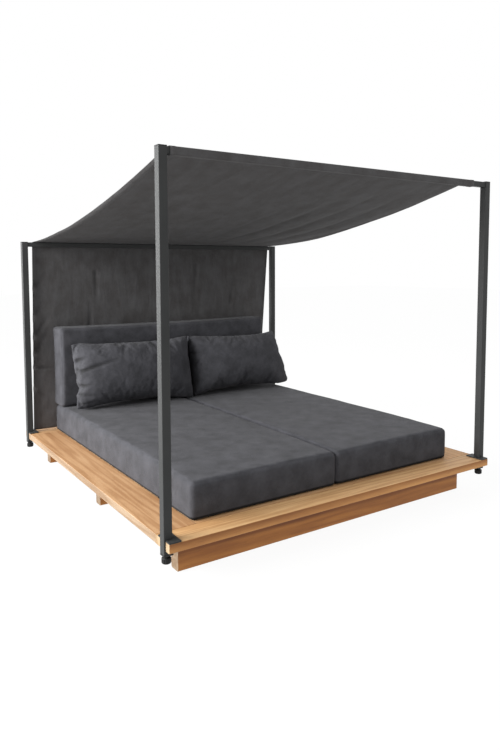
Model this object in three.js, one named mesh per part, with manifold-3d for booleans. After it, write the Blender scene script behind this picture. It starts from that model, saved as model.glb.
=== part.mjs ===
// Outdoor daybed with a sling canopy: a teak platform on three bearers, four square posts,
// two crossbars, one long cloth over them, two mattresses, a back cushion and two pillows.
// Millimetres, +Z up, -Y is the foot end, and the origin is on the floor under the centre.

import * as THREE from 'three';
import { mergeVertices } from 'three/addons/utils/BufferGeometryUtils.js';
import Module from 'manifold-3d';

const wasm = await Module();
wasm.setup();

// Platform boards
const platformWidth = 2100;
const boardThickness = 40;
const sideBoardWidth = 200;
const endBoardWidth = 134;
const easedEdge = 3;

// Clearances
const seatGap = 0.3;
const cutOverrun = 5;

// Bearers and rails under the boards
const bearerHeight = 160;
const bearerThickness = 66;
const bearerEndInset = 107;
const bearerRound = 8;
const bearerCount = 3;
const railWidth = 60;
const railHeight = 45;
const railEndInset = 18;
const railPlaceShares = [-0.74, -0.25, 0.25, 0.74];

// Deck slats inside the frame of boards
const slatCount = 10;
const slatSpacing = 14;
const slatThickness = 25;

// Posts
const postSize = 40;
const postWall = 2.5;
const postCornerRadius = 3;
const postProud = 8;
const postSetback = 35;
const postDrop = 57;
const frontPostRise = 1633;
const rearPostRise = 1319;

// Post caps and foot plugs
const capThickness = 4;
const capSpigot = 25;
const plugFlange = 4;
const plugSpigot = 30;

// Base plates on the boards
const basePlateThickness = 6;
const basePlateReach = 57;
const basePlateLength = 110;

// Clamp plates and knobs under the boards
const clampThickness = 4;
const clampLeg = 46;
const clampWidth = 38;
const studRadius = 5;
const studLength = 34;
const knobRadius = 21;
const knobHeight = 27;
const knobNeckRadius = 11;
const knobNeck = 8;
const knobRound = 7;
const knobFluteRadius = 4;
const knobFlutes = 8;

// Crossbars and their end blocks
const barSize = 30;
const barWall = 2;
const barBelowTop = 3;
const barBlockLength = 45;

// Canopy cloth and back curtain
const clothThickness = 2.5;
const clothSideGap = 13;
const canopyFrontRightInset = 105;
const canopySag = 66;
const canopyHem = 14;
const canopyFold = 8;
const canopyFoldPitch = 215;
const canopyRidgeX = 60;
const curtainFloat = 8;
const curtainRightSlant = 100;
const curtainFold = 7;
const curtainFoldPitch = 290;

// Mattresses
const mattressSideMargin = 1;
const mattressSplit = 8;
const mattressLength = 2000;
const mattressFrontInset = 28;
const mattressRearLap = 56;
const mattressThickness = 178;
const mattressRound = 30;
const mattressCrown = 9;
const mattressDrawIn = 6;

// Back cushion
const backCushionX = -24;
const backCushionWidth = 1668;
const backCushionHeight = 560;
const backCushionThickness = 183;
const backCushionOverhang = 26;
const backCushionRound = 34;
const backCushionCrown = 12;
const backCushionDrawIn = 8;

// Pillows
const pillowWidth = 850;
const pillowHeight = 465;
const pillowThickness = 150;
const pillowEdge = 24;
const pillowPinch = 26;
const pillowPleat = 9;
const pillowLeanDegrees = 11;
const leftPillowX = -386;
const leftPillowTurnDegrees = -3;
const rightPillowX = 474;
const rightPillowSlump = 36;
const rightPillowTurnDegrees = -3;
const settlingPasses = 3;

// Places worked out from the sizes above
const boardBottom = bearerHeight + seatGap;
const platformTop = boardBottom + boardThickness;
const deckHalfWidth = platformWidth / 2 - sideBoardWidth;
const deckHalfDepth = (mattressFrontInset + mattressLength - mattressRearLap) / 2;
const platformDepth = 2 * (deckHalfDepth + endBoardWidth);
const slatBottom = platformTop - slatThickness;
const railTop = slatBottom - seatGap;
const railBottom = railTop - railHeight;
const postX = platformWidth / 2 + postProud - postSize / 2;
const postY = platformDepth / 2 - postSetback - postSize / 2;
const postBottom = platformTop - postDrop;
const postInnerX = postX - postSize / 2;
const plugBottom = postBottom - seatGap - plugFlange;
const clampFootTop = plugBottom - seatGap;
const knobTop = clampFootTop - clampThickness - seatGap;
const clothOffset = barSize / 2 + seatGap + clothThickness / 2;
const frontBarZ = platformTop + frontPostRise - barBelowTop - barSize / 2;
const rearBarZ = platformTop + rearPostRise - barBelowTop - barSize / 2;
const mattressBottom = platformTop + seatGap;
const mattressWidth = deckHalfWidth - mattressSideMargin - mattressSplit / 2;
const mattressFront = -deckHalfDepth + mattressFrontInset;
const mattressBack = mattressFront + mattressLength;
const mattressMiddleX = mattressSplit / 2 + mattressWidth / 2;
const mattressMiddleY = (mattressFront + mattressBack) / 2;
const backCushionBack = mattressBack + backCushionOverhang;
const backCushionFront = backCushionBack - backCushionThickness;

// Materials
const finish = (color, roughness, metalness) =>
  new THREE.MeshStandardMaterial({ color, roughness, metalness });
const teak = finish(0xc08a55, 0.62, 0);
const coatedAluminium = finish(0x45474a, 0.45, 0.6);
const blackPlastic = finish(0x111214, 0.5, 0);
const slingCloth = finish(0x3d3e41, 0.95, 0);
const cushionCloth = finish(0x4d4e54, 0.95, 0);

const daybed = new THREE.Group();

function add(name, geometry, material, position = [0, 0, 0]) {
  const mesh = new THREE.Mesh(geometry, material);
  mesh.name = name;
  mesh.position.set(...position);
  daybed.add(mesh);
  return mesh;
}

// A closed geometry as a solid that can be joined and cut
function solid(geometry) {
  const bare = new THREE.BufferGeometry();
  bare.setAttribute('position', geometry.getAttribute('position'));
  if (geometry.index) bare.setIndex(geometry.index);
  const merged = mergeVertices(bare);
  return new wasm.Manifold(
    new wasm.Mesh({
      numProp: 3,
      vertProperties: merged.getAttribute('position').array,
      triVerts: new Uint32Array(merged.index.array),
    }),
  );
}

function geometryOf(manifold) {
  const made = manifold.getMesh();
  const geometry = new THREE.BufferGeometry();
  geometry.setAttribute('position', new THREE.BufferAttribute(made.vertProperties, 3));
  geometry.setIndex(new THREE.BufferAttribute(made.triVerts, 1));
  return geometry;
}

const cut = (base, tools) =>
  geometryOf(tools.reduce((left, tool) => left.subtract(solid(tool)), solid(base)));
const join = (base, more) =>
  geometryOf(more.reduce((sum, one) => sum.add(solid(one)), solid(base)));

// A block between two corners
function block(low, high) {
  const size = high.map((value, axis) => value - low[axis]);
  const middle = high.map((value, axis) => (value + low[axis]) / 2);
  return new THREE.BoxGeometry(...size).translate(...middle);
}

// A rectangle with rounded corners, centred on the shape's origin
function roundedRectangle(width, height, radius) {
  const x = width / 2;
  const y = height / 2;
  const shape = new THREE.Shape();
  shape.moveTo(-x + radius, -y);
  shape.lineTo(x - radius, -y);
  shape.absarc(x - radius, -y + radius, radius, -Math.PI / 2, 0);
  shape.lineTo(x, y - radius);
  shape.absarc(x - radius, y - radius, radius, 0, Math.PI / 2);
  shape.lineTo(-x + radius, y);
  shape.absarc(-x + radius, y - radius, radius, Math.PI / 2, Math.PI);
  shape.lineTo(-x, -y + radius);
  shape.absarc(-x + radius, -y + radius, radius, Math.PI, Math.PI * 1.5);
  return shape;
}

// A bar of the shape along Z, centred on its length
function extrude(shape, length, curveSegments = 3) {
  const options = { depth: length, bevelEnabled: false, curveSegments };
  return new THREE.ExtrudeGeometry(shape, options).translate(0, 0, -length / 2);
}

// A board with eased long edges that runs along X or Y
function boardAlongX(low, high, edge = easedEdge) {
  const size = high.map((value, axis) => value - low[axis]);
  const middle = high.map((value, axis) => (value + low[axis]) / 2);
  const bar = extrude(roundedRectangle(size[2], size[1], edge), size[0]);
  return bar.rotateY(Math.PI / 2).translate(...middle);
}

function boardAlongY(low, high) {
  const size = high.map((value, axis) => value - low[axis]);
  const middle = high.map((value, axis) => (value + low[axis]) / 2);
  const bar = extrude(roundedRectangle(size[0], size[2], easedEdge), size[1]);
  return bar.rotateX(Math.PI / 2).translate(...middle);
}

// The post's outline with room around it, cut through the end boards
function postNotch(sideX, endY) {
  const half = postSize / 2 + seatGap;
  const outside = postX + postSize;
  const xs = [sideX * (postX - half), sideX * outside].sort((a, b) => a - b);
  return block(
    [xs[0], endY * postY - half, boardBottom - cutOverrun],
    [xs[1], endY * postY + half, platformTop + cutOverrun],
  );
}

const ends = [['front', -1], ['rear', 1]];
const sides = [['left', -1], ['right', 1]];

// The housing in an end board's underside for the tongue of a rail
function tongueHousing(x, end) {
  const half = railWidth / 2 + seatGap;
  const tongueEnd = platformDepth / 2 - railEndInset + seatGap;
  const ys = [end * (deckHalfDepth - cutOverrun), end * tongueEnd].sort((a, b) => a - b);
  return block([x - half, ys[0], boardBottom - cutOverrun], [x + half, ys[1], slatBottom]);
}

function endBoards() {
  const halfWidth = platformWidth / 2;
  for (const [endName, end] of ends) {
    const ys = [end * (platformDepth / 2), end * deckHalfDepth].sort((a, b) => a - b);
    const board = boardAlongX([-halfWidth, ys[0], boardBottom], [halfWidth, ys[1], platformTop]);
    const notches = sides.map(([, side]) => postNotch(side, end));
    const housings = railPlaces.map((x) => tongueHousing(x, end));
    add(`end_board_${endName}`, cut(board, notches.concat(housings)), teak);
  }
}

function sideBoards() {
  const halfLength = deckHalfDepth - seatGap;
  for (const [sideName, side] of sides) {
    const xs = [side * (platformWidth / 2), side * deckHalfWidth].sort((a, b) => a - b);
    const board = boardAlongY([xs[0], -halfLength, boardBottom], [xs[1], halfLength, platformTop]);
    add(`side_board_${sideName}`, board, teak);
  }
}

function deckSlats() {
  const halfLength = deckHalfWidth - seatGap;
  const start = -deckHalfDepth + seatGap;
  const span = 2 * (deckHalfDepth - seatGap);
  const width = (span - (slatCount - 1) * slatSpacing) / slatCount;
  for (let i = 0; i < slatCount; i++) {
    const y = start + i * (width + slatSpacing);
    const slat = boardAlongX([-halfLength, y, slatBottom], [halfLength, y + width, platformTop]);
    add(`deck_slat_${i + 1}`, slat, teak);
  }
}

const railPlaces = railPlaceShares.map((share) => share * deckHalfWidth);

// Rails run from head to foot, and their ends are cut to tongues that carry the end boards
function rails() {
  const halfLength = platformDepth / 2 - railEndInset;
  railPlaces.forEach((x, i) => {
    const half = railWidth / 2;
    const bar = boardAlongY([x - half, -halfLength, railBottom], [x + half, halfLength, railTop]);
    const shoulders = ends.map(([, end]) => {
      const ys = [end * deckHalfDepth, end * (halfLength + cutOverrun)].sort((a, b) => a - b);
      return block(
        [x - half - cutOverrun, ys[0], railBottom - cutOverrun],
        [x + half + cutOverrun, ys[1], boardBottom],
      );
    });
    add(`deck_rail_${i + 1}`, cut(bar, shoulders), teak);
  });
}

// Bearers stand on the floor and are halved over for the rails
function bearers() {
  const halfLength = platformWidth / 2 - bearerEndInset;
  const firstY = -deckHalfDepth;
  const lastY = deckHalfDepth - bearerThickness;
  const half = railWidth / 2 + seatGap;
  for (let i = 0; i < bearerCount; i++) {
    const y = firstY + (i * (lastY - firstY)) / (bearerCount - 1);
    const far = [halfLength, y + bearerThickness, bearerHeight];
    const beam = boardAlongX([-halfLength, y, 0], far, bearerRound);
    const notches = railPlaces.map((x) =>
      block(
        [x - half, y - cutOverrun, railBottom - seatGap],
        [x + half, y + bearerThickness + cutOverrun, bearerHeight + cutOverrun],
      ),
    );
    add(`bearer_${i + 1}`, cut(beam, notches), teak);
  }
}

// A square tube along Z, centred on its length
function squareTube(size, wall, cornerRadius, length) {
  const shape = roundedRectangle(size, size, cornerRadius);
  const inner = size / 2 - wall;
  const hole = new THREE.Path();
  hole.moveTo(-inner, -inner);
  hole.lineTo(-inner, inner);
  hole.lineTo(inner, inner);
  hole.lineTo(inner, -inner);
  hole.closePath();
  shape.holes.push(hole);
  return extrude(shape, length);
}

function post(name, x, y, rise) {
  const tubeTop = platformTop + rise - capThickness - seatGap;
  const length = tubeTop - postBottom;
  const tube = squareTube(postSize, postWall, postCornerRadius, length);
  add(`post_${name}`, tube, coatedAluminium, [x, y, postBottom + length / 2]);
}

// A flat cap on the post's top with a spigot down into the tube
function postCap(name, x, y, rise) {
  const top = platformTop + rise;
  const plate = extrude(roundedRectangle(postSize, postSize, postCornerRadius), capThickness);
  const half = postSize / 2 - postWall - seatGap;
  const spigot = block([-half, -half, -capThickness / 2 - capSpigot], [half, half, 0]);
  const place = [x, y, top - capThickness / 2];
  add(`post_cap_${name}`, join(plate, [spigot]), blackPlastic, place);
}

// The plug in the post's foot holds the knob's stud
function postPlug(name, x, y) {
  const flange = extrude(roundedRectangle(postSize, postSize, postCornerRadius), plugFlange);
  const half = postSize / 2 - postWall - seatGap;
  const spigot = block([-half, -half, 0], [half, half, plugFlange / 2 + plugSpigot]);
  const bore = new THREE.CylinderGeometry(
    studRadius + seatGap,
    studRadius + seatGap,
    2 * studLength,
    16,
  ).rotateX(Math.PI / 2);
  const place = [x, y, plugBottom + plugFlange / 2];
  add(`post_plug_${name}`, cut(join(flange, [spigot]), [bore]), blackPlastic, place);
}

// The plate on the board that keeps the post upright in its notch
function basePlate(name, side, end) {
  const bottom = platformTop + seatGap;
  const width = basePlateReach;
  const plate = extrude(roundedRectangle(width, basePlateLength, easedEdge), basePlateThickness);
  plate.translate(
    side * (platformWidth / 2 - width / 2),
    end * postY,
    bottom + basePlateThickness / 2,
  );
  const notch = postNotch(side, end).translate(0, 0, basePlateThickness);
  add(`base_plate_${name}`, cut(plate, [notch]), coatedAluminium);
}

// A stepped plate: its leg bears on the board from below, and the knob lifts its foot
function clampPlate(name, side, end) {
  const legTop = boardBottom - seatGap;
  const legBottom = legTop - clampThickness;
  const footBottom = clampFootTop - clampThickness;
  const outer = postSize / 2;
  const riserOuter = outer + seatGap + clampThickness;
  const shape = new THREE.Shape();
  shape.moveTo(outer, footBottom);
  shape.lineTo(outer, clampFootTop);
  shape.lineTo(-outer - seatGap, clampFootTop);
  shape.lineTo(-outer - seatGap, legTop);
  shape.lineTo(-riserOuter - clampLeg, legTop);
  shape.lineTo(-riserOuter - clampLeg, legBottom);
  shape.lineTo(-riserOuter, legBottom);
  shape.lineTo(-riserOuter, footBottom);
  shape.closePath();
  const plate = extrude(shape, clampWidth).rotateX(Math.PI / 2);
  const hole = new THREE.CylinderGeometry(
    studRadius + seatGap,
    studRadius + seatGap,
    2 * clampThickness,
    16,
  )
    .rotateX(Math.PI / 2)
    .translate(0, 0, clampFootTop - clampThickness / 2);
  const geometry = cut(plate, [hole]);
  if (side < 0) geometry.rotateZ(Math.PI);
  add(`clamp_plate_${name}`, geometry, coatedAluminium, [side * postX, end * postY, 0]);
}

// A round hand knob with shallow flutes and a stud that screws into the plug
function clampKnob(name, x, y) {
  const round = knobRound;
  const profile = [new THREE.Vector2(0, -knobNeck - knobHeight)];
  const steps = 4;
  for (let i = 0; i <= steps; i++) {
    const angle = ((i / steps) * Math.PI) / 2;
    profile.push(
      new THREE.Vector2(
        knobRadius - round + round * Math.sin(angle),
        -knobNeck - knobHeight + round - round * Math.cos(angle),
      ),
    );
  }
  profile.push(new THREE.Vector2(knobRadius, -knobNeck - round / 2));
  profile.push(new THREE.Vector2(knobRadius - round / 2, -knobNeck));
  profile.push(new THREE.Vector2(knobNeckRadius, -knobNeck));
  profile.push(new THREE.Vector2(knobNeckRadius, 0));
  profile.push(new THREE.Vector2(studRadius, 0));
  profile.push(new THREE.Vector2(studRadius, studLength));
  profile.push(new THREE.Vector2(0, studLength));
  const body = new THREE.LatheGeometry(profile, 24).rotateX(Math.PI / 2);
  const flutes = Array.from({ length: knobFlutes }, (_, i) => {
    const angle = (i / knobFlutes) * Math.PI * 2;
    const reach = knobRadius + knobFluteRadius / 2;
    return new THREE.CylinderGeometry(knobFluteRadius, knobFluteRadius, 2 * knobHeight, 8)
      .rotateX(Math.PI / 2)
      .translate(reach * Math.cos(angle), reach * Math.sin(angle), -knobNeck - knobHeight);
  });
  add(`clamp_knob_${name}`, cut(body, flutes), blackPlastic, [x, y, knobTop]);
}

function corners() {
  for (const [endName, end] of ends) {
    const rise = end < 0 ? frontPostRise : rearPostRise;
    for (const [sideName, side] of sides) {
      const name = `${endName}_${sideName}`;
      const x = side * postX;
      const y = end * postY;
      post(name, x, y, rise);
      postCap(name, x, y, rise);
      postPlug(name, x, y);
      basePlate(name, side, end);
      clampPlate(name, side, end);
      clampKnob(name, x, y);
    }
  }
}

// The crossbar between two posts, and the block in each of its ends
function crossbar(endName, end, z) {
  const halfLength = postInnerX - seatGap;
  const tube = squareTube(barSize, barWall, postCornerRadius, 2 * halfLength);
  add(`crossbar_${endName}`, tube.rotateY(Math.PI / 2), coatedAluminium, [0, end * postY, z]);
  const half = barSize / 2 - barWall - seatGap;
  for (const [sideName, side] of sides) {
    const xs = [side * halfLength, side * (halfLength - barBlockLength)].sort((a, b) => a - b);
    const piece = block([xs[0], -half, -half], [xs[1], half, half]);
    add(`bar_block_${endName}_${sideName}`, piece, blackPlastic, [0, end * postY, z]);
  }
}

// A strip of cloth: rows of points along a path, thickened across the path
function clothStrip(columns, pathAt) {
  const rows = pathAt(0).length;
  const upper = [];
  const lower = [];
  for (let i = 0; i <= columns; i++) {
    const path = pathAt(i / columns);
    path.forEach((point, j) => {
      const before = path[Math.max(j - 1, 0)];
      const after = path[Math.min(j + 1, rows - 1)];
      const inward = new THREE.Vector2(point.y - before.y, point.z - before.z);
      const outward = new THREE.Vector2(after.y - point.y, after.z - point.z);
      if (inward.length() === 0) inward.copy(outward);
      if (outward.length() === 0) outward.copy(inward);
      inward.normalize();
      outward.normalize();
      const along = inward.clone().add(outward).normalize();
      const reach = clothThickness / 2 / Math.max(along.dot(inward), 0.5);
      const side = new THREE.Vector3(0, -along.y, along.x).multiplyScalar(reach);
      upper.push(point.clone().add(side));
      lower.push(point.clone().sub(side));
    });
  }
  const points = upper.concat(lower);
  const shift = upper.length;
  const faces = [];
  const quad = (a, b, c, d) => faces.push(a, b, c, a, c, d);
  const at = (i, j) => i * rows + j;
  for (let i = 0; i < columns; i++) {
    for (let j = 0; j < rows - 1; j++) {
      const [a, b, c, d] = [at(i, j), at(i + 1, j), at(i + 1, j + 1), at(i, j + 1)];
      quad(a, b, c, d);
      quad(shift + a, shift + d, shift + c, shift + b);
    }
    quad(at(i, 0), shift + at(i, 0), shift + at(i + 1, 0), at(i + 1, 0));
    const last = rows - 1;
    quad(at(i, last), at(i + 1, last), shift + at(i + 1, last), shift + at(i, last));
  }
  for (let j = 0; j < rows - 1; j++) {
    quad(at(0, j), at(0, j + 1), shift + at(0, j + 1), shift + at(0, j));
    const [a, b] = [at(columns, j), at(columns, j + 1)];
    quad(a, shift + a, shift + b, b);
  }
  const geometry = new THREE.BufferGeometry().setFromPoints(points);
  geometry.setIndex(faces);
  return geometry;
}

const clothLeft = -postInnerX + clothSideGap;
const clothRight = postInnerX - clothSideGap;

// Shallow folds from head to foot on the right, where the cloth is slack, that fade at the bars
function canopyFoldAt(x, t) {
  const slack = THREE.MathUtils.smoothstep(x, -canopyFoldPitch, canopyFoldPitch);
  const ridge = Math.cos((2 * Math.PI * (x - canopyRidgeX)) / canopyFoldPitch);
  return canopyFold * slack * Math.sin(Math.PI * t) ** 1.5 * ridge;
}

// The canopy is sleeved round the front bar, sags to the rear bar and lies over it
function canopyCloth() {
  const frontY = -postY;
  const rearY = postY;
  const spanStart = frontY + clothOffset;
  const spanEnd = rearY - clothOffset;
  const startZ = frontBarZ + clothOffset;
  const endZ = rearBarZ + clothOffset;
  const spanRows = 16;
  const pathAt = (share) => {
    const u = share ** 0.75;
    const xAt = (t) => {
      const right = clothRight - (1 - t) * (canopyFrontRightInset - clothSideGap);
      return clothLeft + u * (right - clothLeft);
    };
    const path = [
      new THREE.Vector3(xAt(0), frontY + clothOffset, frontBarZ + clothOffset - canopyHem),
      new THREE.Vector3(xAt(0), frontY + clothOffset, frontBarZ - clothOffset),
      new THREE.Vector3(xAt(0), frontY - clothOffset, frontBarZ - clothOffset),
      new THREE.Vector3(xAt(0), frontY - clothOffset, frontBarZ + clothOffset),
    ];
    for (let j = 0; j <= spanRows; j++) {
      const t = j / spanRows;
      const y = spanStart + t * (spanEnd - spanStart);
      const straight = startZ + t * (endZ - startZ);
      const sag = canopySag * 4 * t * (1 - t);
      path.push(new THREE.Vector3(xAt(t), y, straight - sag + canopyFoldAt(xAt(t), t)));
    }
    path.push(new THREE.Vector3(xAt(1), rearY + clothOffset + clothThickness / 2, endZ));
    return path;
  };
  add('canopy_cloth', clothStrip(44, pathAt), slingCloth);
}

// The curtain hangs from the canopy's back edge, behind the rear bar, down to the boards
function backCurtain() {
  const top = rearBarZ + clothOffset - clothThickness / 2 - seatGap;
  const bottom = platformTop + curtainFloat;
  const rows = 11;
  const pathAt = (u) =>
    Array.from({ length: rows + 1 }, (_, j) => {
      const t = j / rows;
      const right = clothRight - t * curtainRightSlant;
      const x = clothLeft + u * (right - clothLeft);
      const fold = curtainFold * Math.sin((2 * Math.PI * x) / curtainFoldPitch) * Math.sqrt(t);
      return new THREE.Vector3(x, postY + clothOffset + t * t * fold, top + t * (bottom - top));
    });
  add('back_curtain', clothStrip(28, pathAt), slingCloth);
}

// A padded block: graded rows of points, with rounded edges
function paddedBlock(size, round, cells) {
  const half = size.map((value) => value / 2);
  const geometry = new THREE.BoxGeometry(2, 2, 2, ...cells);
  const place = geometry.getAttribute('position');
  const inner = half.map((value) => value - round);
  for (let i = 0; i < place.count; i++) {
    const unit = [place.getX(i), place.getY(i), place.getZ(i)];
    const point = unit.map((value, axis) => Math.sin((value * Math.PI) / 2) * half[axis]);
    const core = point.map((value, axis) => THREE.MathUtils.clamp(value, -inner[axis], inner[axis]));
    const off = new THREE.Vector3(...point.map((value, axis) => value - core[axis]));
    if (off.length() > 0) off.setLength(round);
    place.setXYZ(i, core[0] + off.x, core[1] + off.y, core[2] + off.z);
  }
  return geometry;
}

// How much of its crown a pad has reached, at a place in half widths and half lengths
function crownShare(u, v) {
  return Math.sqrt(Math.max(1 - u * u, 0) * Math.max(1 - v ** 4, 0));
}

// The crown on a pad's upper face and its sides drawn in between the corners
function plump(geometry, size, crown, drawIn, footDrawIn = drawIn) {
  const [halfX, halfY, halfZ] = size.map((value) => value / 2);
  const place = geometry.getAttribute('position');
  for (let i = 0; i < place.count; i++) {
    const [x, y, z] = [place.getX(i), place.getY(i), place.getZ(i)];
    const [u, v, w] = [x / halfX, y / halfY, z / halfZ];
    const bowlX = 1 - u * u;
    const bowlY = 1 - v ** 4;
    const rise = Math.max(w, 0) * crown * crownShare(u, v);
    const endDrawIn = v < 0 ? footDrawIn : drawIn;
    place.setXYZ(i, x - drawIn * bowlY * u ** 3, y - endDrawIn * bowlX * v ** 7, z + rise);
  }
  return mergedPositions(geometry);
}

function mergedPositions(geometry) {
  geometry.deleteAttribute('normal');
  geometry.deleteAttribute('uv');
  return mergeVertices(geometry);
}

function mattresses() {
  const size = [mattressWidth, mattressLength, mattressThickness];
  for (const [sideName, side] of sides) {
    const pad = paddedBlock(size, mattressRound, [10, 14, 6]);
    add(`mattress_${sideName}`, plump(pad, size, mattressCrown, mattressDrawIn), cushionCloth, [
      side * mattressMiddleX,
      mattressMiddleY,
      mattressBottom + mattressThickness / 2,
    ]);
  }
}

// The height of the mattress tops at a place on the deck
function mattressTopAt(x, y) {
  const u = (Math.abs(x) - mattressMiddleX) / (mattressWidth / 2);
  const v = (y - mattressMiddleY) / (mattressLength / 2);
  return mattressBottom + mattressThickness + mattressCrown * crownShare(u, v);
}

const backCushionFoot =
  mattressTopAt(mattressMiddleX, backCushionFront + backCushionRound) + seatGap;
const backCushionMiddleZ = backCushionFoot + backCushionHeight / 2;

// How far forward the back cushion reaches at a width, so that a pillow lifts off clear of it
function backCushionFaceAt(x) {
  const u = (x - backCushionX) / (backCushionWidth / 2);
  return backCushionFront - backCushionCrown * crownShare(u, 0);
}

// The back cushion stands flat on the mattresses, its crown to the front
function backCushion() {
  const size = [backCushionWidth, backCushionHeight, backCushionThickness];
  const pad = paddedBlock(size, backCushionRound, [14, 8, 5]);
  const plumped = plump(pad, size, backCushionCrown, backCushionDrawIn, 0);
  const middleY = backCushionBack - backCushionThickness / 2;
  const place = [backCushionX, middleY, backCushionMiddleZ];
  add('back_cushion', plumped.rotateX(Math.PI / 2), cushionCloth, place);
}

// A pillow upright in XZ: full in the middle, thin at its pinched and pleated ends, flat on its foot
function pillowGeometry(slump) {
  const geometry = new THREE.BoxGeometry(2, 2, 2, 16, 2, 12);
  const place = geometry.getAttribute('position');
  const halfX = pillowWidth / 2;
  const halfZ = pillowHeight / 2;
  const belly = (pillowThickness - pillowEdge) / 2;
  for (let i = 0; i < place.count; i++) {
    const [u, w, v] = [place.getX(i), place.getY(i), place.getZ(i)];
    const su = Math.sin((u * Math.PI) / 2);
    const sv = Math.sin((v * Math.PI) / 2);
    const full = Math.sqrt((1 - su ** 4) * (1 - sv ** 4));
    const pinchX = pillowPinch * (1 - sv * sv) * su ** 5;
    const pinchZ = pillowPinch * (1 - su * su) * Math.max(sv, 0) ** 5;
    const pleat = pillowPleat * Math.cos(3 * Math.PI * v) * su ** 6 * (1 - sv ** 4);
    const lean = slump * Math.max(su, 0) ** 2 * -sv;
    place.setXYZ(
      i,
      halfX * su - pinchX + lean,
      w * (pillowEdge / 2 + belly * full) + pleat,
      halfZ * sv - pinchZ,
    );
  }
  return mergedPositions(geometry);
}

// Where a geometry comes to rest on the mattresses and against the back cushion
function settledPlace(geometry, x) {
  const points = geometry.getAttribute('position');
  const place = [x, backCushionFront, backCushionMiddleZ];
  for (let pass = 0; pass < settlingPasses; pass++) {
    let shift = Infinity;
    let lift = -Infinity;
    for (let i = 0; i < points.count; i++) {
      const px = place[0] + points.getX(i);
      const py = place[1] + points.getY(i);
      const pz = place[2] + points.getZ(i);
      shift = Math.min(shift, backCushionFaceAt(px) - seatGap - py);
      lift = Math.max(lift, mattressTopAt(px, py) + seatGap - pz);
    }
    place[1] += shift;
    place[2] += lift;
  }
  return place;
}

// A pillow leans on the back cushion and rests on the mattress
function pillow(name, x, slump, turnDegrees) {
  const geometry = pillowGeometry(slump);
  geometry.rotateX(THREE.MathUtils.degToRad(-pillowLeanDegrees));
  geometry.rotateZ(THREE.MathUtils.degToRad(turnDegrees));
  add(name, geometry, cushionCloth, settledPlace(geometry, x));
}

endBoards();
sideBoards();
deckSlats();
rails();
bearers();
corners();
crossbar('front', -1, frontBarZ);
crossbar('rear', 1, rearBarZ);
canopyCloth();
backCurtain();
mattresses();
backCushion();
pillow('pillow_left', leftPillowX, 0, leftPillowTurnDegrees);
pillow('pillow_right', rightPillowX, rightPillowSlump, rightPillowTurnDegrees);

export default daybed;
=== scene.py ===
import math

import bpy
from mathutils import Matrix, Vector, noise


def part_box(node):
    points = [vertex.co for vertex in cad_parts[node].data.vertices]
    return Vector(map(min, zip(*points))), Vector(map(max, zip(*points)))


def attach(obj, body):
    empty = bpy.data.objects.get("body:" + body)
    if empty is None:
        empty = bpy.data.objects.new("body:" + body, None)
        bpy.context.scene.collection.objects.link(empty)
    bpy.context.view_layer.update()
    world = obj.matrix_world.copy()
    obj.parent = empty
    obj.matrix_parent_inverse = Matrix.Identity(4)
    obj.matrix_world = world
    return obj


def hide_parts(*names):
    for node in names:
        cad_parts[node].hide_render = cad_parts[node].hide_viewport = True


# Outdoor daybed with a sling canopy, dressed for a studio picture.
# The frame holds the timber, posts, bars and clamps. This script makes the cloth and the bedding,
# paints every surface and sets up the studio. Metres, +Z up, and -Y is the foot end.

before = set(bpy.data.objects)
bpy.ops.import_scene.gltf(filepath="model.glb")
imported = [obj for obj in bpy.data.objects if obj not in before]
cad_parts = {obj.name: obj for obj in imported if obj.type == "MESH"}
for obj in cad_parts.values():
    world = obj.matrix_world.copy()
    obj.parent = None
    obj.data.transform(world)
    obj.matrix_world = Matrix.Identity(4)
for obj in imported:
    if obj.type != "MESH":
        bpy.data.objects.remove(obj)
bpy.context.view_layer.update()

MM = 0.001

# Studio
CAMERA_PLACE = Vector((-2.187, -3.434, 1.346))
CAMERA_LOOK = Vector((0.5557, 0.8277, -0.0778))
CAMERA_ROLL = math.radians(-0.18)
CAMERA_LENS = 30.65
CAMERA_SHIFT = (-0.0033, -0.0780)
SENSOR_WIDTH = 36
VIEW_END = 200
FLOOR_SIZE = 60
FLOOR_DROP = 0.4 * MM
FLOOR_GLOW = 0.94

# Cloth. The sling is set in from its solid's sides where the insets say.
CLOTH_THICKNESS = 1.4 * MM
CLOTH_COLUMNS = 128
CLOTH_ROW = 15 * MM
HEM_WIDTH = 28 * MM
HEM_LIFT = 0.9 * MM
HEM_STEP = 0.94
HEM_TOP = 0.95
ARC_STEPS = 5
BAR_CORNER = 3 * MM
BAR_CLEARANCE = 2.2 * MM
REAR_TURN = 6 * MM
SLEEVE_OVERLAP = 6 * MM
SLING_SAG = 66 * MM
FRONT_RIGHT_INSET = 92 * MM
FOOT_RIGHT_INSET = 100 * MM
REAR_LEFT_INSET = 24 * MM
RIPPLE_PITCH = 0.215
RIPPLE_HEIGHT = 8 * MM
SLING_DIP = 10 * MM
CREASE_SPREAD = 3
CURTAIN_CREASE_DEPTH = 16 * MM
PILLOW_CREASE_DEPTH = 9 * MM
# Heights above the curtain's foot between which a painted light, as thrown up from the timber below, fades
# out upwards.
BOUNCE_LOW = 0.05
BOUNCE_HIGH = 0.60

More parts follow.
